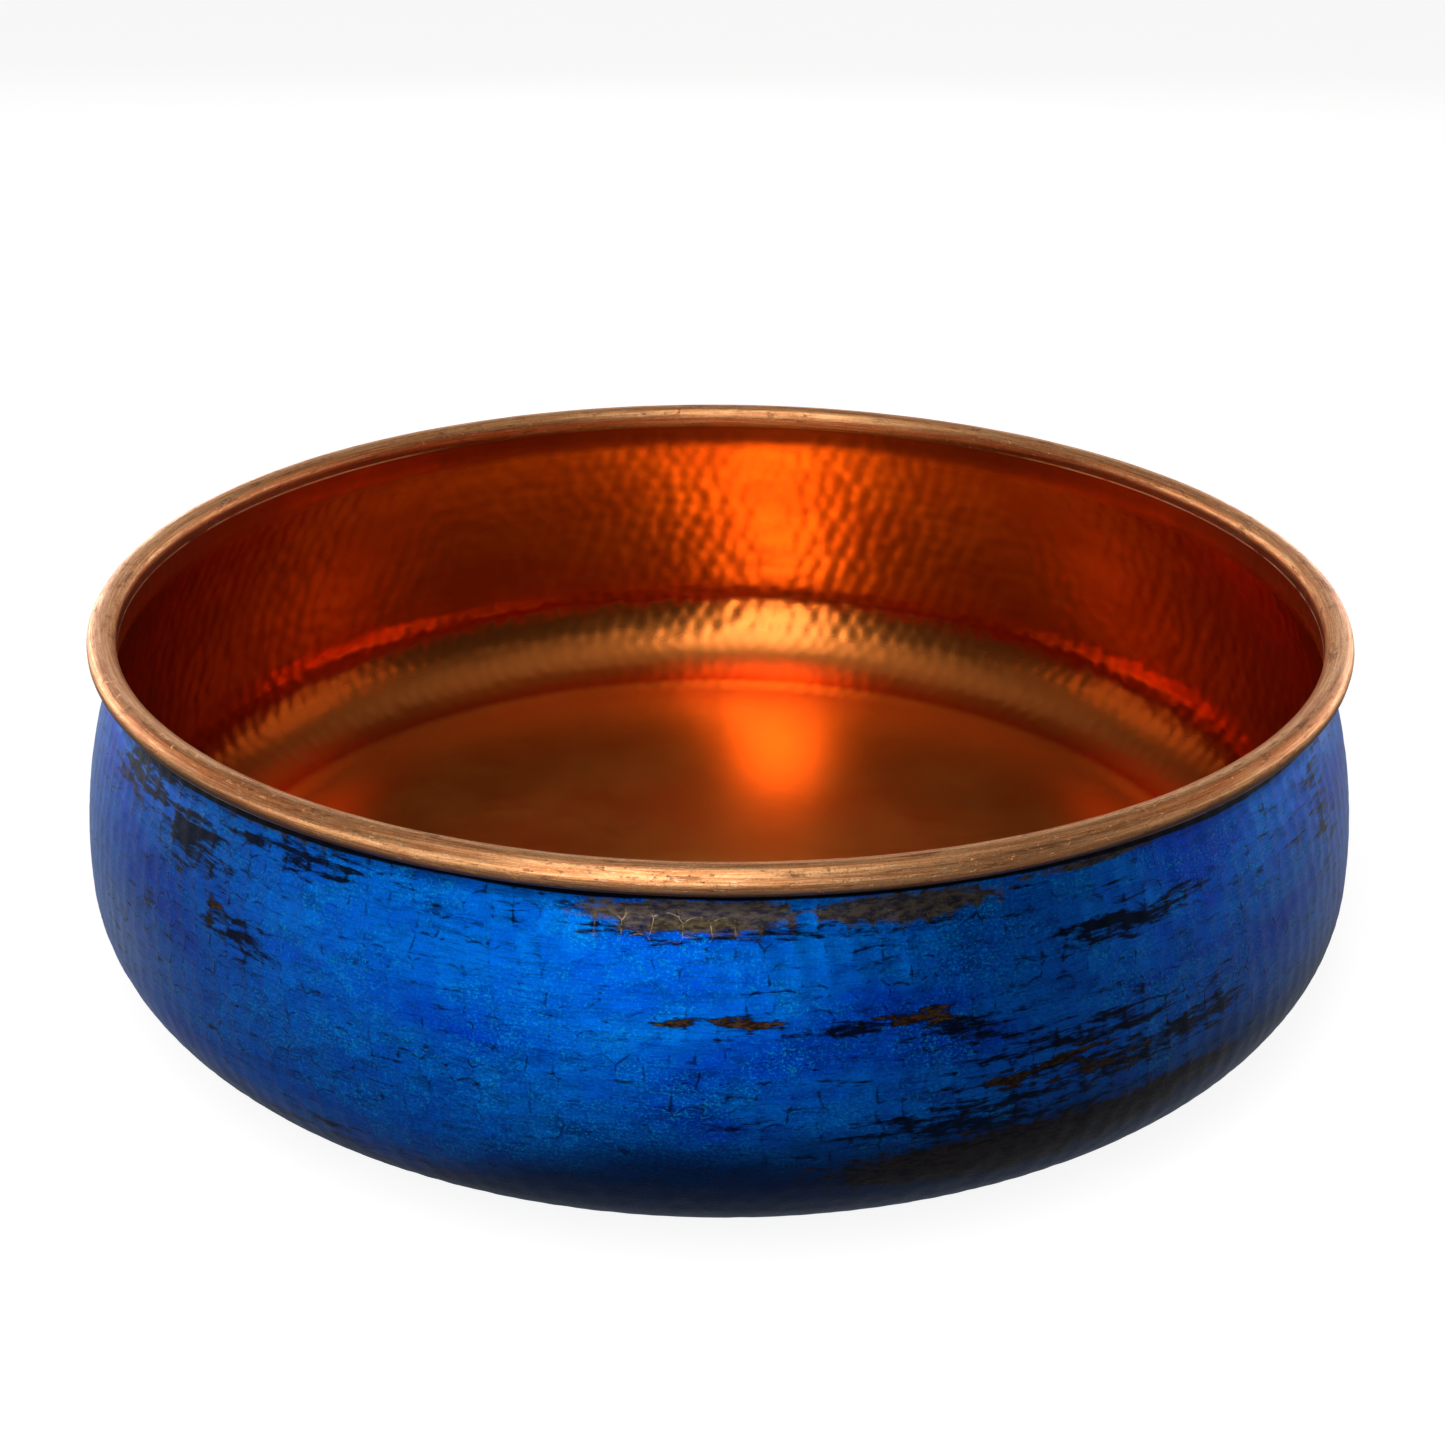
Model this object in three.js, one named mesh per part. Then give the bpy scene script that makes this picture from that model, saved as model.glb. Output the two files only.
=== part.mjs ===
// Hammered copper bowl with a rolled rim. Units are millimetres and +Z is up.
// The origin is the centre of the flat underside, so the bowl stands on z = 0.
//
// The bowl is three pieces. One raised sheet makes the floor, the rounded corner, the
// bulging wall and a short upright collar. A folded rim band hooks over the collar's top
// edge, and a core wire inside the band makes the round bead stiff.

import * as THREE from 'three';

// ---- Driving dimensions ------------------------------------------------------------

const RIM_DIAMETER = 400; // over the outside of the bead
const HEIGHT = 117; // underside to the top of the bead
const BELLY_OVERHANG = 6.5; // how far the widest part of the wall stands out past the rim
const CORNER_RADIUS = 38; // outside, between the flat underside and the widest part
const COLLAR_HEIGHT = 5; // upright strip of wall below the bead
const SHOULDER_RADIUS = 8; // outside, where the collar turns out into the wall

const SHEET = 1.2; // body sheet thickness
const BAND_SHEET = 0.8; // rim band thickness
const WIRE_DIAMETER = 5; // core wire in the bead

const ROLL_CLEARANCE = 0.3; // between the sheet, the band and the wire
const BAND_LEG = 3.6; // inner leg of the band, down from the bead's centre
const LIP_GAP = 1.3; // open seam between the band's curled lip and the collar
const WIRE_END_GAP = 1.5; // between the butted ends of the core wire

const AROUND = 72; // facets round the bowl

// ---- Sizes that follow from them ---------------------------------------------------

// Across the bead lie the band's leg, the sheet, the wire and the band's outer face.
const beadRadius = (2 * BAND_SHEET + SHEET + WIRE_DIAMETER + 3 * ROLL_CLEARANCE) / 2;
const beadBore = beadRadius - BAND_SHEET;
const beadR = RIM_DIAMETER / 2 - beadRadius;
const beadZ = HEIGHT - beadRadius;

const collarInnerR = beadR - beadBore + ROLL_CLEARANCE;
const collarR = collarInnerR + SHEET;
const wireR = collarR + ROLL_CLEARANCE + WIRE_DIAMETER / 2;
const lipAngle = -Math.acos((collarR + LIP_GAP - beadR) / beadRadius);

const bellyR = RIM_DIAMETER / 2 + BELLY_OVERHANG;
const cornerR = bellyR - CORNER_RADIUS;
const shoulderZ = beadZ - beadRadius - COLLAR_HEIGHT;

// ---- Helpers -----------------------------------------------------------------------

// Points [r, z] of an arc about (r, z), from one angle to another, both ends included.
function arc(r, z, radius, from, to, steps) {
  const points = [];
  for (let i = 0; i <= steps; i += 1) {
    const angle = from + ((to - from) * i) / steps;
    points.push([r + radius * Math.cos(angle), z + radius * Math.sin(angle)]);
  }
  return points;
}

// A solid of revolution about +Z, from an outline of [r, z] points.
function revolve(outline) {
  const points = outline.map(([r, z]) => new THREE.Vector2(r, z));
  return new THREE.LatheGeometry(points, AROUND).rotateX(Math.PI / 2);
}

function copper(color, roughness, metalness) {
  return new THREE.MeshStandardMaterial({ color, roughness, metalness });
}

function piece(name, geometry, material) {
  const mesh = new THREE.Mesh(geometry, material);
  mesh.name = name;
  return mesh;
}

// ---- Bowl body ---------------------------------------------------------------------

// One face of the sheet, from the axis out and up to the collar's top edge. The depth is
// how far that face lies inside the outer one: 0 for the outside, SHEET for the inside.
function sheetFace(depth) {
  // The wall is one arc, upright at the belly, that meets the shoulder's arc smoothly.
  const run = collarR + SHOULDER_RADIUS - bellyR;
  const rise = shoulderZ - CORNER_RADIUS;
  const bulge = bellyR - collarR;
  const wallRadius = (run ** 2 + rise ** 2 - SHOULDER_RADIUS ** 2) / (2 * bulge);
  const lean = Math.atan2(rise, run + wallRadius);
  const wallCentreR = bellyR - wallRadius;
  const shoulderCentreR = collarR + SHOULDER_RADIUS;
  return [
    [0, depth],
    ...arc(cornerR, CORNER_RADIUS, CORNER_RADIUS - depth, -Math.PI / 2, 0, 8),
    ...arc(wallCentreR, CORNER_RADIUS, wallRadius - depth, 0, lean, 6).slice(1),
    ...arc(shoulderCentreR, shoulderZ, SHOULDER_RADIUS + depth, Math.PI + lean, Math.PI, 2).slice(1),
    [collarR - depth, beadZ],
  ];
}

function bowlBody() {
  const outside = sheetFace(0);
  const inside = sheetFace(SHEET);
  return revolve([...outside, ...inside.reverse()]);
}

// ---- Rim band ----------------------------------------------------------------------

// The band is a hook in section: an upright leg inside the collar, then a round roll over
// the top edge and the wire, ending in a lip that stops short of the collar's outer face.
function bandRoll(radius) {
  return [
    ...arc(beadR, beadZ, radius, Math.PI, Math.PI / 2, 4),
    ...arc(beadR, beadZ, radius, Math.PI / 2, 0, 4).slice(1),
    ...arc(beadR, beadZ, radius, 0, lipAngle, 4).slice(1),
  ];
}

function rimBand() {
  const legEnd = [beadR - beadRadius, beadZ - BAND_LEG];
  const outline = [
    legEnd,
    [beadR - beadBore, beadZ - BAND_LEG],
    ...bandRoll(beadBore),
    ...bandRoll(beadRadius).reverse(),
    legEnd,
  ];
  return revolve(outline);
}

// ---- Core wire ---------------------------------------------------------------------

// The centre line of the wire: a ring that stops short of closing, with its ends at +Y.
class WirePath extends THREE.Curve {
  getPoint(t, target = new THREE.Vector3()) {
    const gap = WIRE_END_GAP / wireR;
    const angle = Math.PI / 2 + gap / 2 + (2 * Math.PI - gap) * t;
    return target.set(wireR * Math.cos(angle), wireR * Math.sin(angle), beadZ);
  }
}

function coreWire() {
  const section = new THREE.Shape().absarc(0, 0, WIRE_DIAMETER / 2, 0, 2 * Math.PI);
  return new THREE.ExtrudeGeometry(section, {
    extrudePath: new WirePath(),
    steps: AROUND,
    curveSegments: 6,
  });
}

// ---- The bowl ----------------------------------------------------------------------

const bowl = new THREE.Group();
bowl.add(
  piece('bowl_body', bowlBody(), copper(0x0b58c4, 0.35, 0.6)),
  piece('rim_band', rimBand(), copper(0xb87346, 0.38, 1)),
  piece('rim_core_wire', coreWire(), copper(0xa8653c, 0.5, 1)),
);

export default bowl;
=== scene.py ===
"""The looks of the hammered copper bowl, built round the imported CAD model.

The CAD model has three nodes: one sheet (bowl_body), the band rolled over its edge
(rim_band) and the wire inside that roll (rim_core_wire). Here the sheet is made again as
two closed skins, its outer half and its inner half, with every hammer mark in the shape,
and the band is made again as a slightly uneven bead. Lengths are metres in the frame, and
most sizes are written in millimetres as multiples of MM.
"""

import math

import bpy
import numpy as np
from mathutils import Matrix, Vector


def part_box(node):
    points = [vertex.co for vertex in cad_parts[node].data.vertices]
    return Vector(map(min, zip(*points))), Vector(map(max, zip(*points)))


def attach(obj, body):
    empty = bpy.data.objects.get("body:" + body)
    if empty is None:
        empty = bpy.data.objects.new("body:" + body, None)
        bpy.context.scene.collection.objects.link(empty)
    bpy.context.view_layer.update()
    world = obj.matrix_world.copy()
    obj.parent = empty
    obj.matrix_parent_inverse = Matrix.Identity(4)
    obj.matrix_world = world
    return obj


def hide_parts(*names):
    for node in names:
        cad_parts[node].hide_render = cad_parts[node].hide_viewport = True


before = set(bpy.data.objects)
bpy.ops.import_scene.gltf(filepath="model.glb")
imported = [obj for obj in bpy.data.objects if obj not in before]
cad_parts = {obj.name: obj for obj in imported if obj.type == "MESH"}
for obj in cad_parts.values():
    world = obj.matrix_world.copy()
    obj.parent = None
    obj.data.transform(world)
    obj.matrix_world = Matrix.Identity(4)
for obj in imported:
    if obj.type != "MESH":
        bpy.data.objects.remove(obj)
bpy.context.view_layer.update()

MM = 0.001
SEED = 41
rng = np.random.default_rng(SEED)

# ---- Sizes -------------------------------------------------------------------------

_, body_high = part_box("bowl_body")
_, band_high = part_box("rim_band")

SHEET = 1.2 * MM
BAND_SHEET = 0.8 * MM
CORNER_RADIUS = 38 * MM
SHOULDER_RADIUS = 8 * MM
COLLAR_HEIGHT = 5 * MM
BEAD_RADIUS = 4.35 * MM
BAND_LEG = 3.6 * MM
LIP_GAP = 1.3 * MM
ROLL_CLEARANCE = 0.3 * MM

belly_r = body_high[0]
collar_top = body_high[2]
bead_r = band_high[0] - BEAD_RADIUS
bead_z = band_high[2] - BEAD_RADIUS
collar_r = bead_r - BEAD_RADIUS + BAND_SHEET + ROLL_CLEARANCE + SHEET
corner_r = belly_r - CORNER_RADIUS
shoulder_z = bead_z - BEAD_RADIUS - COLLAR_HEIGHT

# How finely each surface is divided: points round the wall, and the spacing of the rings
# on the wall and on the floor.
OUTSIDE_MESH = (1024, 1.85 * MM, 3.8 * MM)
INSIDE_MESH = (896, 1.75 * MM, 2.2 * MM)
BEAD_POINTS = 720
BACKING_RINGS = 59

# ---- Sheet profile -----------------------------------------------------------------


def arc(r, z, radius, start, end, step=0.25 * MM):
    """Points [r, z] of an arc about (r, z), about one step apart."""
    count = max(2, int(abs(end - start) * radius / step))
    angle = np.linspace(start, end, count)
    return np.stack([r + radius * np.cos(angle), z + radius * np.sin(angle)], axis=1)


def line(start, end, step=0.25 * MM):
    """Points [r, z] of a straight line, about one step apart."""
    count = max(2, int(math.dist(start, end) / step))
    return np.linspace(start, end, count)


class Profile:
    """The sheet's outer face in section, from the collar's top edge down, round the corner
    and in to the middle of the underside. Places on it are lengths run from the top."""

    def __init__(self):
        run = collar_r + SHOULDER_RADIUS - belly_r
        rise = shoulder_z - CORNER_RADIUS
        wall_radius = (run**2 + rise**2 - SHOULDER_RADIUS**2) / (2 * (belly_r - collar_r))
        lean = math.atan2(rise, run + wall_radius)
        shoulder_centre_r = collar_r + SHOULDER_RADIUS
        stretches = [
            line((collar_r, collar_top), (collar_r, shoulder_z)),
            arc(shoulder_centre_r, shoulder_z, SHOULDER_RADIUS, math.pi, math.pi + lean),
            arc(belly_r - wall_radius, CORNER_RADIUS, wall_radius, lean, 0),
            arc(corner_r, CORNER_RADIUS, CORNER_RADIUS, 0, -math.pi / 2),
            line((corner_r, 0), (0, 0)),
        ]
        ends = np.cumsum([len(stretch) - 1 for stretch in stretches])
        self.points = np.concatenate([s[:-1] for s in stretches] + [stretches[-1][-1:]])
        ahead = np.gradient(self.points, axis=0)
        ahead /= np.linalg.norm(ahead, axis=1)[:, None]
        self.normals = np.stack([-ahead[:, 1], ahead[:, 0]], axis=1)
        steps = np.linalg.norm(np.diff(self.points, axis=0), axis=1)
        self.lengths = np.concatenate([[0], np.cumsum(steps)])
        self.floor_edge = self.lengths[ends[3]]
        self.end = self.lengths[-1]

    def radius(self, length):
        return np.interp(length, self.lengths, self.points[:, 0])

    def height(self, length):
        return np.interp(length, self.lengths, self.points[:, 1])

    def point(self, length, inward):
        """(r, z) at this length, this far in from the outer face."""
        out_r = np.interp(length, self.lengths, self.normals[:, 0])
        out_z = np.interp(length, self.lengths, self.normals[:, 1])
        return self.radius(length) - inward * out_r, self.height(length) - inward * out_z


profile = Profile()

# ---- Hammer marks ------------------------------------------------------------------


class HammerMarks:
    """Rows of hammer blows round the bowl, from just under the collar in to the middle.
    Each blow leaves a shallow dish, and two dishes meet in a ridge.

    pitch and row_pitch are the distances between marks in a row and between rows. Each row
    is turned on by stagger, a share of the pitch, and jitter is how far a mark strays, as a
    share of both pitches. floor_share is the depth on the floor over that on the wall. arch
    bends the dishes, so that they meet along arcs."""

    DEPTH_SPREAD = 0.16
    FEWEST_IN_ROW = 4

    def __init__(self, pitch, row_pitch, stagger, jitter, depth, ball_radius, floor_share, arch):
        self.row_pitch = row_pitch
        self.crown = 0.06 * MM
        self.arch = arch
        self.ball_radius = ball_radius
        self.start = collar_top - shoulder_z - 1.5 * MM
        row_count = int((profile.end - self.start) / row_pitch)
        self.row_size = np.zeros(row_count, int)
        self.row_offset = np.zeros(row_count, int)
        wall_size = round(2 * math.pi * profile.radius(self.start) / pitch)
        turns, lengths, depths = [], [], []
        total = 0
        for row in range(row_count):
            length = self.start + row * row_pitch
            around = 2 * math.pi * profile.radius(length)
            on_wall = length < profile.floor_edge - CORNER_RADIUS
            size = wall_size if on_wall else max(self.FEWEST_IN_ROW, round(around / pitch))
            self.row_size[row] = size
            self.row_offset[row] = total
            nudge = rng.uniform(-jitter, jitter, size)
            turns.append((np.arange(size) + row * stagger + nudge) / size)
            lengths.append(length + rng.uniform(-jitter, jitter, size) * row_pitch)
            flatter = 1 if on_wall else floor_share
            depths.append(depth * flatter * (1 + rng.normal(0, self.DEPTH_SPREAD, size)))
            total += size
        self.turn = np.concatenate(turns)
        self.length = np.concatenate(lengths)
        self.depth = np.concatenate(depths)
        self.tint = rng.uniform(0, 1, total)

    def value(self, mark, turn, length):
        """How deep this mark cuts here: negative outside its dish."""
        apart = (turn - self.turn[mark] + 0.5) % 1.0 - 0.5
        dx = apart * 2 * math.pi * profile.radius(length)
        dy = length - self.length[mark] - self.arch * dx**2
        return self.depth[mark] - (dx**2 + dy**2) / (2 * self.ball_radius)

    def deepest(self, turn, length):
        """The three marks that cut deepest at each place, the deepest first."""
        count = len(turn)
        rows = np.rint((length - self.start) / self.row_pitch).astype(int)
        values = np.full((3, count), -1.0)
        found = np.zeros((3, count), int)
        for row_step in (-2, -1, 0, 1, 2):
            row = rows + row_step
            real = (row >= 0) & (row < len(self.row_size))
            row = np.clip(row, 0, len(self.row_size) - 1)
            size, offset = self.row_size[row], self.row_offset[row]
            first = self.turn[offset]
            nearest = np.rint((turn - first) * size).astype(int)
            for step in (-2, -1, 0, 1, 2):
                mark = offset + (nearest + step) % size
                value = np.where(real, self.value(mark, turn, length), -1.0)
                for place in range(3):
                    wins = value > values[place]
                    wins &= ~np.any(found[:place] == mark, axis=0) if place else True
                    old_value, old_mark = values[place].copy(), found[place].copy()
                    values[place] = np.where(wins, value, values[place])
                    found[place] = np.where(wins, mark, found[place])
                    value = np.where(wins, old_value, value)
                    mark = np.where(wins, old_mark, mark)
        return found

    def cut(self, turn, length):
        """How deep the surface is cut at each place. Where two dishes don't quite meet,
        the metal between them keeps a soft crown."""
        best = self.deepest(turn, length)[0]
        value = self.value(best, turn, length)
        return (value + np.hypot(value, self.crown)) / 2


outer_marks = HammerMarks(
    pitch=6.9 * MM,
    row_pitch=6.3 * MM,
    stagger=0.12,
    jitter=0.22,
    depth=0.22 * MM,
    ball_radius=30 * MM,
    floor_share=0.6,
    arch=120,
)
inner_marks = HammerMarks(
    pitch=6.6 * MM,
    row_pitch=6.0 * MM,
    stagger=0.33,
    jitter=0.27,
    depth=0.20 * MM,
    ball_radius=32 * MM,
    floor_share=0.45,
    arch=0,
)

# ---- Meshes ------------------------------------------------------------------------


class Skin:
    """A closed surface of revolution, grown ring by ring. Each vertex keeps its turn
    (0 to 1 round the bowl) and its length down the profile."""

    def __init__(self):
        self.parts = []
        self.quads = []
        self.triangles = []
        self.total = 0
        self.first = None
        self.last = None

    def add_ring(self, points, turn, length):
        """Joins this ring to the last one. It may have as many points, half as many,
        twice as many, or be a single point."""
        ring = np.arange(self.total, self.total + len(points))
        self.parts.append((points, turn, np.full(len(points), length)))
        self.total += len(points)
        if self.last is None:
            self.first = ring
        else:
            self.join(self.last, ring)
        self.last = ring

    def close(self):
        """Joins the last ring to the first."""
        self.join(self.last, self.first)

    def join(self, a, b):
        if len(b) == 1:
            self.triangles.append(np.stack([a, np.roll(a, -1), np.full(len(a), b[0])], axis=1))
        elif len(a) == 1:
            self.triangles.append(np.stack([np.full(len(b), a[0]), np.roll(b, -1), b], axis=1))
        elif len(a) == len(b):
            self.quads.append(np.stack([a, np.roll(a, -1), np.roll(b, -1), b], axis=1))
        elif len(a) == 2 * len(b):
            self.join_half(a, b, 1)
        else:
            self.join_half(b, a, -1)

    def join_half(self, fine, coarse, way):
        """Joins a ring to one with half as many points. way is -1 to turn the faces over."""
        even, odd, after = fine[0::2], fine[1::2], np.roll(fine[0::2], -1)
        coarse_after = np.roll(coarse, -1)
        fans = ((even, odd, coarse), (odd, after, coarse_after), (odd, coarse_after, coarse))
        for corners in fans:
            self.triangles.append(np.stack(corners, axis=1)[:, ::way])

    def arrays(self):
        """Points, turns and lengths of all vertices."""
        return [np.concatenate(column) for column in zip(*self.parts)]


def ring_points(turn, r, z):
    """Points round the bowl at these turns. Turn 0 is at -Y, and turn 0.25 at +X."""
    angle = 2 * math.pi * turn
    height = np.broadcast_to(z, turn.shape)
    return np.stack([r * np.sin(angle), -r * np.cos(angle), height], axis=1)


def make_object(name, points, faces, material, node):
    """A smooth-shaded piece that stands for a CAD node."""
    mesh = bpy.data.meshes.new(name)
    mesh.from_pydata(points, [], [face.tolist() for group in faces for face in group])
    mesh.update()
    mesh.shade_smooth()
    mesh.materials.append(material)
    piece = bpy.data.objects.new(name, mesh)
    bpy.context.scene.collection.objects.link(piece)
    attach(piece, "root")
    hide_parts(node)
    return piece


def add_attribute(mesh, name, values, domain):
    """Keeps numbers or 3-vectors on the mesh's points or face corners."""
    vector = values.ndim == 2
    layer = mesh.attributes.new(name, "FLOAT_VECTOR" if vector else "FLOAT", domain)
    layer.data.foreach_set("vector" if vector else "value", values.astype(np.float32).ravel())


def ring_count(r, most, least):
    """Points in a ring of this radius: half as many once the radius is well inside the
    corner, and again each time it halves from there."""
    count = most
    limit = corner_r * 0.55
    while r < limit and count > least:
        count //= 2
        limit /= 2
    return count


def add_face(skin, marks, face_depth, finest, wall_step, floor_step):
    """Adds the sheet's hammered face at this depth, from the collar's edge to the middle
    of the floor. The marks fade out just below the collar."""
    inward = -1 if face_depth else 1
    fade_length = 4 * MM
    wall = np.arange(0, profile.floor_edge, wall_step)
    floor = np.arange(profile.floor_edge, profile.end - floor_step / 2, floor_step)
    for length in [*wall, *floor, profile.end]:
        r = float(profile.radius(length))
        on_wall = length < profile.floor_edge
        count = finest if on_wall else ring_count(r, finest // 2, finest // 32)
        count = 1 if length == profile.end else count
        turn = np.arange(count) / count
        fade = np.clip((length - marks.start + fade_length) / fade_length, 0, 1)
        cut = marks.cut(turn, np.full(count, length)) * fade
        ring_r, ring_z = profile.point(length, face_depth + inward * cut)
        skin.add_ring(ring_points(turn, ring_r, ring_z), turn, length)


def add_backing(skin, face_depth, finest):
    """Adds the plain face at the middle of the sheet, back up to the collar's edge, and
    two finer rings across the edge, on the way to the hammered face."""
    middle = SHEET / 2
    rings = []
    for length in np.linspace(profile.end, 0, BACKING_RINGS + 1)[1:]:
        count = ring_count(float(profile.radius(length)), finest // 8, finest // 32)
        rings.append((length, middle, count))
    for third, count in ((1, finest // 4), (2, finest // 2)):
        rings.append((0.0, middle + (face_depth - middle) * third / 3, count))
    for length, depth, count in rings:
        ring_r, ring_z = profile.point(length, depth)
        turn = np.arange(count) / count
        skin.add_ring(ring_points(turn, ring_r, ring_z), turn, length)


def sheet_skin(marks, face_depth, mesh_sizes, flip):
    """One half of the sheet as a closed skin: its hammered face at this depth (0 outside,
    SHEET inside), backed by a plain face at the middle of the sheet, which no one sees."""
    skin = Skin()
    add_face(skin, marks, face_depth, *mesh_sizes)
    add_backing(skin, face_depth, mesh_sizes[0])
    skin.close()
    points, turn, length = skin.arrays()
    faces = [group[:, ::-1] if flip else group for group in skin.quads + skin.triangles]
    return points, turn, length, faces


def shade_places(piece, marks, turn, length):
    """Gives every face corner its distance in millimetres from the ridge between the
    three nearest marks, and those marks' tints, so that a material can follow the dishes
    exactly."""
    mesh = piece.data
    corner_vertex = np.empty(len(mesh.loops), np.int32)
    mesh.loops.foreach_get("vertex_index", corner_vertex)
    sizes = np.empty(len(mesh.polygons), np.int32)
    mesh.polygons.foreach_get("loop_total", sizes)
    starts = np.concatenate([[0], np.cumsum(sizes)[:-1]])
    corner_turn, corner_length = turn[corner_vertex], length[corner_vertex]
    first_turn = corner_turn[starts]
    drift = (corner_turn - np.repeat(first_turn, sizes) + 0.5) % 1.0 - 0.5
    face_turn = (first_turn + np.add.reduceat(drift, starts) / sizes) % 1.0
    face_length = np.add.reduceat(corner_length, starts) / sizes
    found = [np.repeat(mark, sizes) for mark in marks.deepest(face_turn, face_length)]
    own = marks.value(found[0], corner_turn, corner_length)
    gaps = []
    for other in found[1:]:
        apart = (marks.turn[other] - marks.turn[found[0]] + 0.5) % 1.0 - 0.5
        dx = apart * 2 * math.pi * profile.radius(corner_length)
        dy = marks.length[other] - marks.length[found[0]]
        reach = np.maximum(np.hypot(dx, dy), MM)
        lead = marks.value(other, corner_turn, corner_length) - own
        gaps.append(lead * marks.ball_radius / reach / MM)
    add_attribute(mesh, "ridge", np.stack([*gaps, np.zeros_like(own)], axis=1), "CORNER")
    add_attribute(mesh, "tint", np.stack([marks.tint[mark] for mark in found], axis=1), "CORNER")


# Places where the patina differs: degrees round from the front, then the height, half
# length and half height in millimetres, and how strongly. Bare is rubbed through to copper,
# smear is brown tarnish, dark is blackened, pale is a dry greyish bloom that at the sides of
# the outline also paints in a grazing sheen, and bright is where the ridges are rubbed to
# metal, with a painted glint on them.
BARE = [
    (-3, 75, 8, 1.4, 0.9),
    (2, 75, 12, 1.8, 1.0),
    (14.5, 74, 13, 2.6, 0.95),
    (22, 52, 12, 3.0, 0.9),
    (27, 55, 14, 2.5, 0.9),
    (31, 49, 26, 3.0, 0.8),
    (-43, 76, 5, 7, 0.75),
    (-48, 80, 4, 9, 0.6),
    (-52, 64, 5, 6, 0.5),
]
SMEAR = [
    (23, 30, 60, 9, 1.0),
    (38, 34, 30, 5, 0.9),
    (-2, 101.5, 34, 4.6, 1.0),
    (14, 101.5, 30, 4.6, 0.95),
    (30, 104, 34, 1.8, 0.8),
    (-38, 104, 40, 1.6, 0.7),
]
DARK = [
    (33, 86, 24, 4, 0.9),
    (23, 52, 20, 6, 0.7),
    (30, 60, 36, 5, 0.8),
    (20, 42, 44, 7, 0.8),
    (36, 50, 34, 5, 0.8),
    (-40, 73, 12, 6, 0.9),
    (-47, 92, 20, 7, 0.9),
    (-36, 99, 30, 4, 0.9),
    (-56, 97, 24, 8, 0.9),
    (10, 73, 22, 3, 0.7),
    (0, 98, 60, 3.5, 0.8),
    (18, 68, 18, 8, 0.45),
    (62, 82, 12, 16, 0.6),
    (-30, 18, 60, 5, 0.5),
    (140, 70, 60, 10, 0.8),
    (-120, 50, 70, 9, 0.7),
    (180, 95, 50, 6, 0.8),
    (95, 45, 50, 7, 0.6),
]
# The patches at -80 and 82 degrees, on the sides of the outline, are partly a painted sheen.
PALE = [
    (-80, 72, 30, 30, 0.55),
    (-58, 46, 26, 14, 0.5),
    (82, 68, 30, 30, 0.3),
    (68, 100, 14, 6, 0.4),
    (-150, 80, 40, 20, 0.6),
]
# A painted glint on rubbed ridges under the bead, at the front.
BRIGHT = [(-3.5, 99.0, 15, 2.4, 0.7)]
PATCH_SOFTNESS = 1.2


def patch_cover(patches, turn, z):
    """From 0 to 1, how far each place lies in one of these patches."""
    cover = np.zeros(len(turn))
    for degrees, height, half_length, half_height, strength in patches:
        apart = (turn - degrees / 360 + 0.5) % 1.0 - 0.5
        dx = apart * 2 * math.pi * belly_r / (half_length * MM)
        dz = (z - height * MM) / (half_height * MM)
        cover = np.maximum(cover, strength * np.exp(-(dx**2 + dz**2) / PATCH_SOFTNESS))
    return cover


def shade_patches(piece, turn):
    """Gives every point how bare, tarnished, dark, pale (bloom and painted sheen) and bright
    (rubbed ridges with a painted glint) the patina is there.
    """
    places = np.empty(3 * len(turn), np.float32)
    piece.data.vertices.foreach_get("co", places)
    z = places[2::3]
    layers = {"bare": BARE, "smear": SMEAR, "dark": DARK, "pale": PALE, "bright": BRIGHT}
    for layer, patches in layers.items():
        add_attribute(piece.data, layer, patch_cover(patches, turn, z), "POINT")


# ---- Materials ---------------------------------------------------------------------


def colour(red, green, blue):
    """A linear colour from 0 to 255 sRGB values."""
    channels = np.array([red, green, blue]) / 255
    linear = np.where(channels < 0.04045, channels / 12.92, ((channels + 0.055) / 1.055) ** 2.4)
    return (*(float(value) for value in linear), 1.0)


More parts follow.
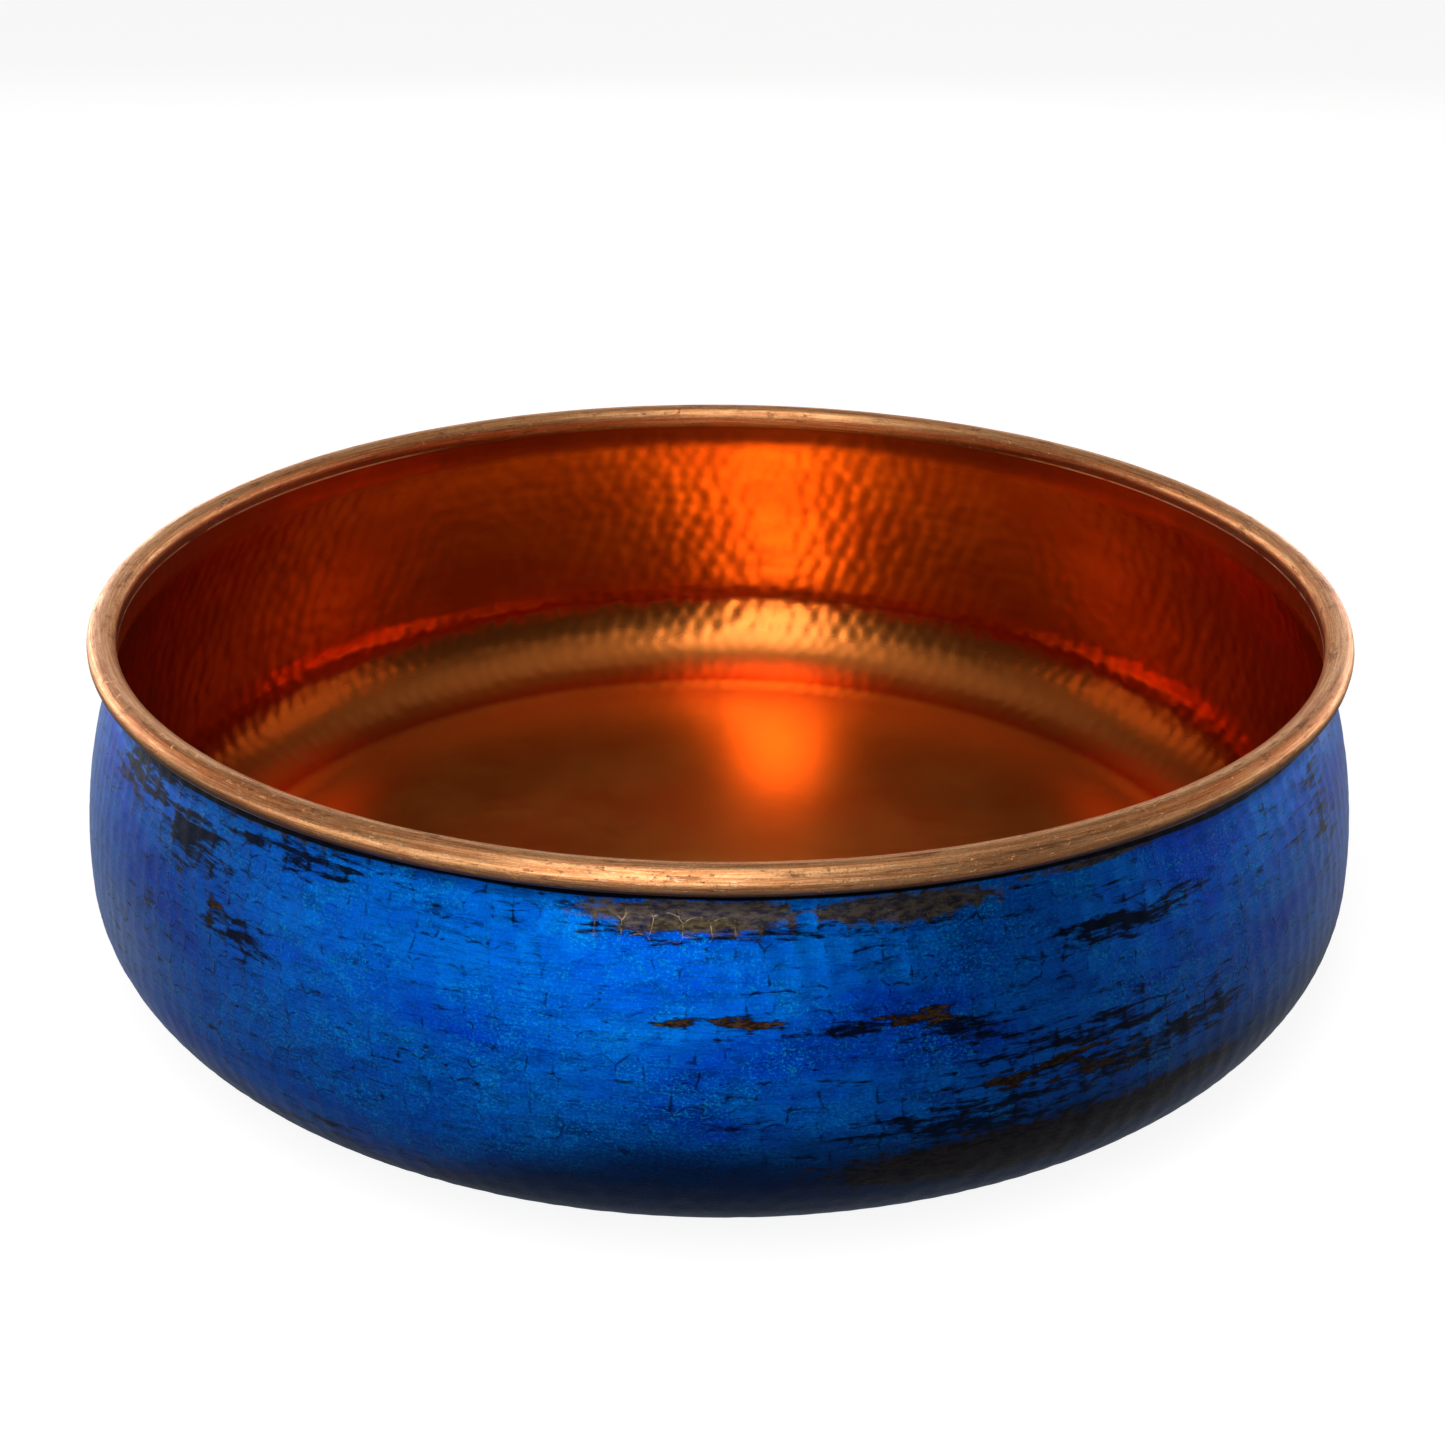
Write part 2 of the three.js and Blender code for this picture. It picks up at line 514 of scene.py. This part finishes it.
class Material:
    """Builds a node material. A method that makes a node returns its output socket."""

    def __init__(self, name):
        self.material = bpy.data.materials.new(name)
        self.material.use_nodes = True
        self.nodes = self.material.node_tree.nodes
        self.links = self.material.node_tree.links
        self.shader = self.nodes["Principled BSDF"]
        self.place = self.nodes.new("ShaderNodeTexCoord").outputs["Object"]

    def put(self, socket, value):
        """Links a socket or sets a plain value."""
        if isinstance(value, bpy.types.NodeSocket):
            self.links.new(value, socket)
        else:
            socket.default_value = value

    def set(self, **values):
        """Sets the shader's own sockets, named with _ for spaces."""
        for name, value in values.items():
            self.put(self.shader.inputs[name.replace("_", " ").title()], value)

    def attribute(self, name, output="Fac"):
        node = self.nodes.new("ShaderNodeAttribute")
        node.attribute_name = name
        return node.outputs[output]

    def split(self, vector):
        node = self.nodes.new("ShaderNodeSeparateXYZ")
        self.put(node.inputs[0], vector)
        return node.outputs

    def math(self, operation, a, b=0.0):
        node = self.nodes.new("ShaderNodeMath")
        node.operation = operation
        self.put(node.inputs[0], a)
        self.put(node.inputs[1], b)
        return node.outputs[0]

    def product(self, a, b):
        return self.math("MULTIPLY", a, b)

    def add(self, base, value, share=1.0):
        """The base plus this share of the value."""
        if share != 1.0:
            value = self.product(value, share)
        return self.math("ADD", base, value)

    def noise(
        self, across, up, detail=3.0, roughness=0.5, distortion=0.0, shift=0.0, place=None
    ):
        """Noise from 0 to 1 whose blobs are this wide across and this tall, in metres. The
        shift, in blobs, keeps two noises of one size from being alike."""
        mapping = self.nodes.new("ShaderNodeMapping")
        self.put(mapping.inputs["Vector"], place or self.place)
        mapping.inputs["Scale"].default_value = (1 / across, 1 / across, 1 / up)
        mapping.inputs["Location"].default_value = (shift, shift * 1.7, shift * 0.6)
        node = self.nodes.new("ShaderNodeTexNoise")
        node.inputs["Scale"].default_value = 1.0
        node.inputs["Detail"].default_value = detail
        node.inputs["Roughness"].default_value = roughness
        node.inputs["Distortion"].default_value = distortion
        self.links.new(mapping.outputs[0], node.inputs["Vector"])
        return node.outputs["Fac"]

    def ramp(self, value, low, high, out_low=0.0, out_high=1.0):
        """Goes smoothly from out_low to out_high as the value goes from low to high."""
        node = self.nodes.new("ShaderNodeMapRange")
        node.interpolation_type = "SMOOTHSTEP"
        self.put(node.inputs["Value"], value)
        ends = {"From Min": low, "From Max": high, "To Min": out_low, "To Max": out_high}
        for name, number in ends.items():
            node.inputs[name].default_value = number
        return node.outputs["Result"]

    def mix(self, factor, a, b):
        """Colour a where the factor is 0, b where it is 1."""
        node = self.nodes.new("ShaderNodeMix")
        node.data_type = "RGBA"
        self.put(node.inputs["Factor"], factor)
        self.put(node.inputs["A"], a)
        self.put(node.inputs["B"], b)
        return node.outputs["Result"]

    def bump(self, height, distance):
        """A normal for relief this high where the height is 1."""
        node = self.nodes.new("ShaderNodeBump")
        node.inputs["Distance"].default_value = distance
        self.put(node.inputs["Height"], height)
        return node.outputs["Normal"]


# Outside.
AZURE = colour(0, 104, 214)
ROYAL = colour(0, 62, 196)
DEEP_BLUE = colour(0, 46, 122)
TURQUOISE = colour(16, 158, 214)
TEAL = colour(0, 50, 84)
NAVY = colour(0, 30, 66)
# Pale bloom, also used as a painted sheen at the sides of the outline.
BLOOM_AND_SHEEN = colour(150, 172, 206)
# Black of soot, also used as painted shadow in the crevice under the bead.
SOOT_AND_SHADOW = colour(6, 9, 16)
RUBBED_COPPER = colour(80, 56, 36)
BURNT_COPPER = colour(34, 23, 17)
# Rubbed copper with a painted glint on the ridges.
GLINT_ON_RUBBED_COPPER = colour(226, 202, 160)
LOW_TARNISH = colour(52, 43, 38)
HIGH_TARNISH = colour(90, 78, 58)
# Inside.
WALL_LIGHT = colour(224, 108, 32)
WALL_DEEP = colour(202, 91, 26)
# Painted light: corner and floor tones of the one copper, set to how light reflects there.
CORNER_COPPER_PAINTED_LIGHT = colour(212, 116, 46)
FLOOR_COPPER_PAINTED_LIGHT = colour(255, 184, 84)
COLLAR_COPPER = colour(110, 40, 12)
# Bead and wire.
BEAD_LIGHT = colour(255, 194, 134)
BEAD_DEEP = colour(222, 142, 88)
BEAD_SPECK = colour(160, 94, 56)
BEAD_STAIN = colour(120, 66, 38)
# Scratches with a painted glint.
BEAD_SCRATCH_GLINT = colour(255, 232, 208)
# Painted shade on the bead's underside.
BEAD_UNDERSIDE_SHADE = colour(104, 58, 36)
# Painted highlight on the lip's edge.
BEAD_LIP_HIGHLIGHT = colour(255, 236, 214)
WIRE_LIGHT = colour(168, 100, 62)
WIRE_DARK = colour(110, 58, 34)


def ridge_gap(m):
    """Millimetres from the nearest ridge between hammer marks, made a little uneven. Of
    the leads of the three nearest marks, where the first mark's own lead is 0, it is the
    greatest less the middle one."""
    lead_b, lead_c, _ = m.split(m.attribute("ridge", "Vector"))
    top = m.math("MAXIMUM", m.math("MAXIMUM", lead_b, lead_c), 0.0)
    low = m.math("MINIMUM", lead_b, 0.0)
    high = m.math("MAXIMUM", lead_b, 0.0)
    middle = m.math("MAXIMUM", low, m.math("MINIMUM", high, lead_c))
    wobble = m.noise(2.2 * MM, 2.2 * MM, 2.0, 0.6, 0.0, 3.3)
    return m.add(m.math("SUBTRACT", top, middle), wobble, 0.5)


def blue_pigment(m, brushed, fleck):
    """The blue itself: clouds of azure, royal and deep blue, teal brush lines along the
    circumference, turquoise fleck, a slight change from mark to mark, and a pale bloom,
    which at the sides of the outline is partly a painted sheen."""
    tint, _, _ = m.split(m.attribute("tint", "Vector"))
    tone = m.ramp(m.noise(60 * MM, 22 * MM, 3.0, 0.55, 0.4), 0.46, 0.70)
    blue = m.mix(tone, AZURE, ROYAL)
    clouds = m.noise(16 * MM, 5 * MM, 5.0, 0.65, 0.3, 3.1)
    blue = m.mix(m.ramp(clouds, 0.48, 0.72, 0.0, 0.75), blue, DEEP_BLUE)
    blue = m.mix(m.ramp(brushed, 0.48, 0.70, 0.0, 0.6), blue, TEAL)
    fleck_place = m.noise(26 * MM, 12 * MM, 3.0, 0.6, 0.0, 8.1)
    fleck_place = m.ramp(fleck_place, 0.35, 0.65, 0.25, 0.9)
    blue = m.mix(m.product(m.ramp(fleck, 0.50, 0.66), fleck_place), blue, TURQUOISE)
    blue = m.mix(m.ramp(fleck, 0.28, 0.44, 0.55, 0.0), blue, DEEP_BLUE)
    blue = m.mix(m.ramp(tint, 0.0, 1.0, 0.0, 0.3), blue, ROYAL)
    # Pale bloom, partly a painted grazing sheen at the sides of the outline.
    dry = m.ramp(brushed, 0.3, 0.6, 0.95, 0.5)
    return m.mix(m.product(m.attribute("pale"), dry), blue, BLOOM_AND_SHEEN)


def streaks(m, near_ridge, patchy):
    """How black the streaks along the circumference are."""
    drive = m.noise(13 * MM, 2.0 * MM, 7.0, 0.68, 0.35, 1.9)
    drive = m.add(drive, m.attribute("dark"), 0.26)
    drive = m.add(drive, near_ridge)
    drive = m.add(drive, patchy, 0.18)
    return m.ramp(drive, 0.69, 0.84, 0.0, 0.96)


def cracks(m, gap):
    """How dark the thin lines on the ridges are. They come and go, and change in width."""
    width = m.noise(6 * MM, 3.5 * MM, 3.0, 0.6, 0.0, 2.4)
    width = m.ramp(width, 0.42, 0.66, 0.0, 0.75)
    crack = m.ramp(m.math("DIVIDE", gap, m.add(width, 0.01)), 0.2, 1.3, 1.0, 0.0)
    place = m.noise(20 * MM, 12 * MM, 2.0, 0.5, 0.0, 5.9)
    return m.product(crack, m.ramp(place, 0.36, 0.58, 0.15, 0.85))


def rubbed_through(m, near_ridge):
    """How bare the copper is, and how dark the patina is round the bare places."""
    drive = m.noise(9 * MM, 2.2 * MM, 5.0, 0.62, 0.2, 4.4)
    drive = m.add(drive, m.attribute("bare"), 0.36)
    drive = m.add(drive, near_ridge, 0.7)
    return m.ramp(drive, 0.76, 0.80), m.ramp(drive, 0.68, 0.77, 0.0, 0.85)


def foot_shade(m, x, z, patchy):
    """How far the blue darkens towards the underside. It reaches less high on the left."""
    edge = m.add(z, patchy, 14 * MM)
    edge = m.math("SUBTRACT", edge, m.ramp(x, -90 * MM, -10 * MM, -6 * MM, 13 * MM))
    return m.ramp(edge, 24 * MM, 46 * MM, 0.88, 0.0)


def smears(m, near_ridge):
    """How thick the brown tarnish is."""
    edge = m.noise(9 * MM, 2.6 * MM, 6.0, 0.66, 0.3, 7.2)
    drive = m.add(m.product(m.attribute("smear"), 0.6), edge, 0.6)
    drive = m.add(drive, near_ridge)
    return m.ramp(drive, 0.56, 0.70, 0.0, 0.95)


def crevice_shade(m, x, z, patchy):
    """1 in the painted shadow, with dark patina, in the crevice under the bead, whose edge lies
    lower at the sides.
    """
    aside = m.ramp(m.math("ABSOLUTE", x), 60 * MM, 170 * MM, 0.0, 3.2 * MM)
    edge = m.add(m.add(z, aside), patchy, 1.5 * MM)
    return m.ramp(edge, shoulder_z + 2.4 * MM, shoulder_z + 3.0 * MM)


def rubbed_ridge_glints(m, gap):
    """How bright the ridges are where they are rubbed to metal, with a painted glint on them."""
    ridge = m.ramp(gap, 0.26, 0.50, 0.9, 0.0)
    broken = m.ramp(m.noise(3 * MM, 1.5 * MM, 4.0, 0.7), 0.43, 0.57)
    return m.product(m.product(ridge, m.attribute("bright")), broken)


def blue_patina():
    """Blue patina over copper, waxed: streaks along the circumference, dark outlines at
    the hammer marks, copper showing where it is rubbed through, darker to the foot, brown
    tarnish under the rim and low at the front, and painted shadow, with dark patina, in the
    crevice under the bead."""
    m = Material("blue_patina_on_copper")
    x, _, z = m.split(m.place)
    gap = ridge_gap(m)
    near_ridge = m.ramp(gap, 0.2, 1.8, 0.06, 0.0)
    brushed = m.noise(7 * MM, 0.5 * MM, 4.0, 0.65, 0.0, 7.7)
    fleck = m.noise(0.9 * MM, 0.7 * MM, 3.0, 0.75, 0.0, 5.3)
    patchy = m.noise(38 * MM, 12 * MM, 2.0, 0.5, 0.0, 9.2)
    grime = m.noise(3 * MM, 1.2 * MM, 4.0, 0.7, 0.0, 6.6)

    finish = blue_pigment(m, brushed, fleck)
    finish = m.mix(streaks(m, near_ridge, patchy), finish, SOOT_AND_SHADOW)
    crack = cracks(m, gap)
    finish = m.mix(crack, finish, SOOT_AND_SHADOW)

    bare, halo = rubbed_through(m, near_ridge)
    metal = m.mix(m.ramp(grime, 0.38, 0.60), RUBBED_COPPER, BURNT_COPPER)
    metal = m.mix(m.ramp(z, 44 * MM, 60 * MM, 0.5, 0.0), metal, BURNT_COPPER)
    finish = m.mix(halo, finish, SOOT_AND_SHADOW)
    finish = m.mix(bare, finish, metal)
    finish = m.mix(foot_shade(m, x, z, patchy), finish, NAVY)

    tarnish = m.mix(m.ramp(z, 70 * MM, 90 * MM), LOW_TARNISH, HIGH_TARNISH)
    tarnish = m.mix(m.ramp(grime, 0.40, 0.62, 0.0, 0.7), tarnish, SOOT_AND_SHADOW)
    finish = m.mix(smears(m, near_ridge), finish, tarnish)
    # Painted shadow, with dark patina, under the bead.
    finish = m.mix(crevice_shade(m, x, z, patchy), finish, SOOT_AND_SHADOW)
    # Painted glint on the rubbed ridges.
    finish = m.mix(rubbed_ridge_glints(m, gap), finish, GLINT_ON_RUBBED_COPPER)

    m.set(base_color=finish, metallic=1.0, roughness=m.ramp(fleck, 0.3, 0.7, 0.40, 0.55))
    m.set(sheen_weight=0.25, sheen_roughness=0.35, sheen_tint=(0.75, 0.85, 1.0, 1))
    relief = m.add(m.product(crack, -0.8), bare, -0.5)
    relief = m.add(relief, fleck, 0.9)
    relief = m.add(relief, brushed, 0.5)
    m.set(normal=m.bump(relief, 0.08 * MM))
    return m.material


def polished_copper():
    """The inside: hammered, polished and lacquered copper. The rounded corner and the
    floor get their own warmer and golden tones of the one copper, set to how light reflects
    there, which is painted light; it is darker on the collar, and less smooth on the corner,
    the floor and the collar than on the wall."""
    m = Material("polished_copper")
    _, _, z = m.split(m.place)
    cloud = m.noise(35 * MM, 20 * MM, 4.0, 0.6, 0.2, 1.3)
    base = m.mix(m.ramp(cloud, 0.35, 0.65), WALL_LIGHT, WALL_DEEP)
    above_floor = m.ramp(z, 2 * MM, 5 * MM)
    below_wall = m.ramp(z, 18 * MM, 30 * MM, 1.0, 0.0)
    # Painted light: warmer copper on the corner, golden on the floor.
    base = m.mix(m.product(above_floor, below_wall), base, CORNER_COPPER_PAINTED_LIGHT)
    base = m.mix(m.ramp(z, 1.6 * MM, 2.8 * MM, 1.0, 0.0), base, FLOOR_COPPER_PAINTED_LIGHT)
    base = m.mix(m.ramp(z, 98 * MM, 106 * MM, 0.0, 0.6), base, COLLAR_COPPER)
    m.set(base_color=base, metallic=1.0, coat_weight=0.1, coat_roughness=0.18)
    worn_low = m.ramp(z, 4 * MM, 34 * MM, 0.14, 0.0)
    worn_high = m.ramp(z, 96 * MM, 103 * MM, 0.0, 0.22)
    worn = m.add(worn_low, worn_high)
    m.set(roughness=m.add(m.ramp(cloud, 0.3, 0.7, 0.16, 0.22), worn))
    return m.material


def satin_copper():
    """The bead: copper rubbed to a satin, with fine lines running round it, bright scratch
    lines with a painted glint, painted shade underneath that reaches higher at the sides, and
    a painted highlight along the lip's edge at the sides."""
    m = Material("satin_copper")
    x, _, z = m.split(m.place)
    around = m.attribute("around", "Vector")
    line = m.noise(26 * MM, 0.55 * MM, 4.0, 0.7, 0.0, 2.0, around)
    # Fine bright lines: scratches with a painted glint.
    scratch_glint = m.noise(3.0 * MM, 0.45 * MM, 3.0, 0.7, 0.0, 6.0, around)
    stain = m.noise(12 * MM, 3.0 * MM, 5.0, 0.7, 0.3, 5.0, around)
    speck = m.noise(0.6 * MM, 0.6 * MM, 3.0, 0.8, 0.0, 4.0)
    base = m.mix(m.ramp(line, 0.38, 0.62), BEAD_LIGHT, BEAD_DEEP)
    base = m.mix(m.ramp(speck, 0.52, 0.66, 0.0, 0.45), base, BEAD_SPECK)
    base = m.mix(m.ramp(stain, 0.54, 0.68, 0.0, 0.6), base, BEAD_STAIN)
    base = m.mix(m.ramp(scratch_glint, 0.62, 0.70, 0.0, 0.9), base, BEAD_SCRATCH_GLINT)

    # Painted shade on the underside, reaching higher at the sides.
    aside = m.math("ABSOLUTE", x)
    edge = m.math("SUBTRACT", z, m.ramp(aside, 60 * MM, 150 * MM, 0.0, 2.2 * MM))
    under = m.ramp(edge, bead_z - 3.4 * MM, bead_z - 1.0 * MM, 0.8, 0.0)
    base = m.mix(under, base, BEAD_UNDERSIDE_SHADE)
    # A painted highlight along the lip's edge at the sides.
    off_lip = m.math("ABSOLUTE", m.math("SUBTRACT", z, bead_z - 2.9 * MM))
    lip = m.ramp(off_lip, 0.20 * MM, 0.45 * MM, 1.0, 0.0)
    lip = m.product(lip, m.ramp(stain, 0.30, 0.50))
    lip = m.product(lip, m.ramp(aside, 100 * MM, 140 * MM))
    base = m.mix(lip, base, BEAD_LIP_HIGHLIGHT)

    m.set(base_color=base, metallic=1.0, roughness=m.ramp(stain, 0.3, 0.7, 0.32, 0.48))
    nick = m.ramp(m.noise(2.4 * MM, 1.2 * MM, 4.0, 0.65, 0.0, 3.0), 0.60, 0.70)
    relief = m.add(m.product(line, 0.5), nick, -1.5)
    relief = m.add(relief, speck, 0.8)
    m.set(normal=m.bump(relief, 0.10 * MM))
    return m.material


def dull_copper():
    """The core wire: drawn copper that was never polished."""
    m = Material("dull_copper")
    stain = m.noise(6 * MM, 2 * MM, 3.0, 0.6)
    base = m.mix(m.ramp(stain, 0.35, 0.65), WIRE_LIGHT, WIRE_DARK)
    m.set(base_color=base, metallic=1.0, roughness=m.ramp(stain, 0.3, 0.7, 0.4, 0.6))
    return m.material


# ---- The sheet ---------------------------------------------------------------------


def sheet_piece(name, marks, face_depth, mesh_sizes, flip, material):
    """One half of the sheet as a piece, with its turns and lengths."""
    points, turn, length, faces = sheet_skin(marks, face_depth, mesh_sizes, flip)
    return make_object(name, points, faces, material, "bowl_body"), turn, length


outside, turn, length = sheet_piece(
    "bowl_outside", outer_marks, 0, OUTSIDE_MESH, True, blue_patina()
)
shade_places(outside, outer_marks, turn, length)
shade_patches(outside, turn)
sheet_piece("bowl_inside", inner_marks, SHEET, INSIDE_MESH, False, polished_copper())

# ---- Rim band ----------------------------------------------------------------------


def band_section():
    """Points [r, z] round the band in section: up the leg's inner face, over the outside
    of the roll, round the lip, back along the bore, and down round the leg's end."""
    bore = BEAD_RADIUS - BAND_SHEET
    middle = BEAD_RADIUS - BAND_SHEET / 2
    half = BAND_SHEET / 2
    lip = -math.acos((collar_r + LIP_GAP - bead_r) / BEAD_RADIUS)
    lip_r, lip_z = bead_r + middle * math.cos(lip), bead_z + middle * math.sin(lip)
    leg_z = bead_z - BAND_LEG + half
    inner_r, bore_r = bead_r - BEAD_RADIUS, bead_r - bore
    stretches = [
        line((inner_r, leg_z), (inner_r, bead_z), 0.6 * MM),
        arc(bead_r, bead_z, BEAD_RADIUS, math.pi, lip, 0.5 * MM),
        arc(lip_r, lip_z, half, lip, lip - math.pi, 0.3 * MM),
        arc(bead_r, bead_z, bore, lip, math.pi, 0.8 * MM),
        line((bore_r, bead_z), (bore_r, leg_z), 0.9 * MM),
        arc(bead_r - middle, leg_z, half, 0, -math.pi, 0.3 * MM),
    ]
    return np.concatenate([stretch[:-1] for stretch in stretches])


def wave(turn, amount, periods):
    """A smooth uneven wave round the bowl, from -amount to 0."""
    total = np.zeros_like(turn)
    for period in periods:
        total += np.cos(2 * math.pi * (period * turn + rng.uniform()))
    return amount * (total / len(periods) - 1) / 2


def rim_band():
    """The band swept round the bowl, very slightly uneven as a hand-closed roll is."""
    section = band_section()
    turn = np.arange(BEAD_POINTS) / BEAD_POINTS
    thin = wave(turn, 0.16 * MM, (5, 11, 23, 41, 67))
    low = wave(turn, 0.14 * MM, (4, 13, 29, 53))
    skin = Skin()
    run = 0
    last = section[0]
    for r, z in section:
        run += math.dist(last, (r, z))
        last = (r, z)
        outward, upward = np.clip(np.array([r - bead_r, z - bead_z]) / BEAD_RADIUS, 0, 1)
        skin.add_ring(ring_points(turn, r + thin * outward, z + low * upward), turn, run)
    skin.close()
    points, _, length = skin.arrays()
    piece = make_object("rim_bead", points, skin.quads, satin_copper(), "rim_band")
    around = np.stack([points[:, 0], points[:, 1], length], axis=1)
    add_attribute(piece.data, "around", around, "POINT")


rim_band()

# ---- Core wire ---------------------------------------------------------------------

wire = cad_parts["rim_core_wire"]
for wire_slot in wire.material_slots:
    wire_slot.material = dull_copper()

# ---- Stage -------------------------------------------------------------------------

FLOOR_HALF = 5.0
FLOOR_GREY = 0.3
FLOOR_GLOW = 0.88  # strength to the camera

WORLD_SEEN = 1.0  # strength to the camera
WORLD_LOW = 0.05  # light it gives round the horizon
WORLD_HIGH = 0.32  # light it gives overhead

WHITE = (1.0, 1.0, 1.0)
WARM = (1.0, 0.5, 0.22)

# Name, place, what it faces, width, height, watts and colour. One tall window in two
# parts stands at the front, a little to the left. The low lamps light the outside, the
# side lamps warm the inside, and the back lamps edge the outline.
LAMPS = [
    ("window", (-0.315, -1.36, 0.83), (0, 0, 0.05), 0.42, 1.1, 6.2, WHITE),
    ("window_top", (-0.17, -0.73, 1.46), (0, 0, 0.05), 0.42, 0.8, 4.8, WHITE),
    ("front_low", (-0.34, -1.45, 0.08), (0, 0, 0.05), 1.7, 0.16, 4.8, WHITE),
    ("left_low", (-1.35, -0.75, 0.05), (0, 0, 0.03), 0.8, 0.10, 2.2, WHITE),
    ("right_low", (1.45, -0.35, 0.07), (0, 0, 0.06), 0.6, 0.12, 0.8, WHITE),
    ("left_side", (-1.20, 0.35, 0.75), (0, 0, 0), 0.9, 0.6, 0.9, WARM),
    ("right_side", (1.20, 0.35, 0.75), (0, 0, 0), 0.9, 0.6, 0.9, WARM),
    ("back", (0.0, 1.70, 0.75), (0, 0, 0.1), 2.4, 0.7, 4.8, WHITE),
    ("back_left", (-1.10, 0.90, 0.16), (0, 0, 0.10), 1.6, 0.30, 7.0, WHITE),
    ("back_right", (1.10, 0.90, 0.16), (0, 0, 0.10), 1.6, 0.30, 5.0, WHITE),
]

CAMERA_PLACE = (0.0008, -0.6563, 0.3675)
CAMERA_PITCH = 24.78  # degrees down
CAMERA_ROLL = 0.43  # degrees
CAMERA_LENS = 53.62  # mm
SENSOR_WIDTH = 36  # mm


def studio_floor():
    """A pale floor. Its glow is seen by the camera only, so the bowl gets little light
    back, as if it stood on a dark table in a white room."""
    m = Material("studio_floor")
    m.nodes.remove(m.shader)
    grey = m.nodes.new("ShaderNodeBsdfDiffuse")
    grey.inputs["Color"].default_value = (FLOOR_GREY, FLOOR_GREY, FLOOR_GREY, 1)
    glow = m.nodes.new("ShaderNodeEmission")
    glow.inputs["Color"].default_value = (1, 1, 1, 1)
    glow.inputs["Strength"].default_value = FLOOR_GLOW
    bright = m.nodes.new("ShaderNodeAddShader")
    m.links.new(grey.outputs[0], bright.inputs[0])
    m.links.new(glow.outputs[0], bright.inputs[1])
    light_path = m.nodes.new("ShaderNodeLightPath")
    pick = m.nodes.new("ShaderNodeMixShader")
    m.links.new(light_path.outputs["Is Camera Ray"], pick.inputs[0])
    m.links.new(grey.outputs[0], pick.inputs[1])
    m.links.new(bright.outputs[0], pick.inputs[2])
    m.links.new(pick.outputs[0], m.nodes["Material Output"].inputs["Surface"])
    return m.material


def make_floor(half):
    """A square floor that reaches this far from the middle."""
    mesh = bpy.data.meshes.new("floor")
    corners = [(-half, -half, 0), (half, -half, 0), (half, half, 0), (-half, half, 0)]
    mesh.from_pydata(corners, [], [(0, 1, 2, 3)])
    mesh.materials.append(studio_floor())
    floor = bpy.data.objects.new("floor", mesh)
    bpy.context.scene.collection.objects.link(floor)


def make_world(seen, low, high):
    """A plain world, as bright as seen to the camera. The light it gives goes smoothly
    from low, round the horizon, to high overhead."""
    world = bpy.data.worlds.new("studio")
    world.use_nodes = True
    nodes, links = world.node_tree.nodes, world.node_tree.links
    split = nodes.new("ShaderNodeSeparateXYZ")
    links.new(nodes.new("ShaderNodeTexCoord").outputs["Generated"], split.inputs[0])
    given = nodes.new("ShaderNodeMapRange")
    given.interpolation_type = "SMOOTHSTEP"
    ends = {"From Min": 0.6, "From Max": 0.95, "To Min": low, "To Max": high}
    for name, number in ends.items():
        given.inputs[name].default_value = number
    links.new(split.outputs["Z"], given.inputs["Value"])
    strength = nodes.new("ShaderNodeMix")
    light_path = nodes.new("ShaderNodeLightPath")
    links.new(light_path.outputs["Is Camera Ray"], strength.inputs["Factor"])
    links.new(given.outputs[0], strength.inputs["A"])
    strength.inputs["B"].default_value = seen
    links.new(strength.outputs[0], nodes["Background"].inputs["Strength"])
    nodes["Background"].inputs["Color"].default_value = (1, 1, 1, 1)
    bpy.context.scene.world = world


def softbox(name, place, target, width, height, power, tone):
    """A rectangular lamp at a place, facing a target. The camera doesn't see it."""
    lamp = bpy.data.lights.new(name, "AREA")
    lamp.shape = "RECTANGLE"
    lamp.size, lamp.size_y = width, height
    lamp.energy = power
    lamp.color = tone
    piece = bpy.data.objects.new(name, lamp)
    piece.location = place
    away = Vector([a - b for a, b in zip(place, target)])
    piece.rotation_euler = away.to_track_quat("Z", "Y").to_euler()
    piece.visible_camera = False
    bpy.context.scene.collection.objects.link(piece)


def make_camera(place, pitch, roll, lens):
    """A camera at a place looking along +Y, tilted down by pitch and turned by roll."""
    data = bpy.data.cameras.new("camera")
    data.lens = lens
    data.sensor_width = SENSOR_WIDTH
    camera = bpy.data.objects.new("camera", data)
    tilt = Matrix.Rotation(math.radians(90 - pitch), 4, "X")
    turn = Matrix.Rotation(math.radians(roll), 4, "Z")
    camera.matrix_world = Matrix.Translation(place) @ tilt @ turn
    bpy.context.scene.collection.objects.link(camera)
    bpy.context.scene.camera = camera


make_floor(FLOOR_HALF)
make_world(WORLD_SEEN, WORLD_LOW, WORLD_HIGH)
for lamp in LAMPS:
    softbox(*lamp)
make_camera(CAMERA_PLACE, CAMERA_PITCH, CAMERA_ROLL, CAMERA_LENS)

bpy.context.scene.view_settings.view_transform = "Standard"
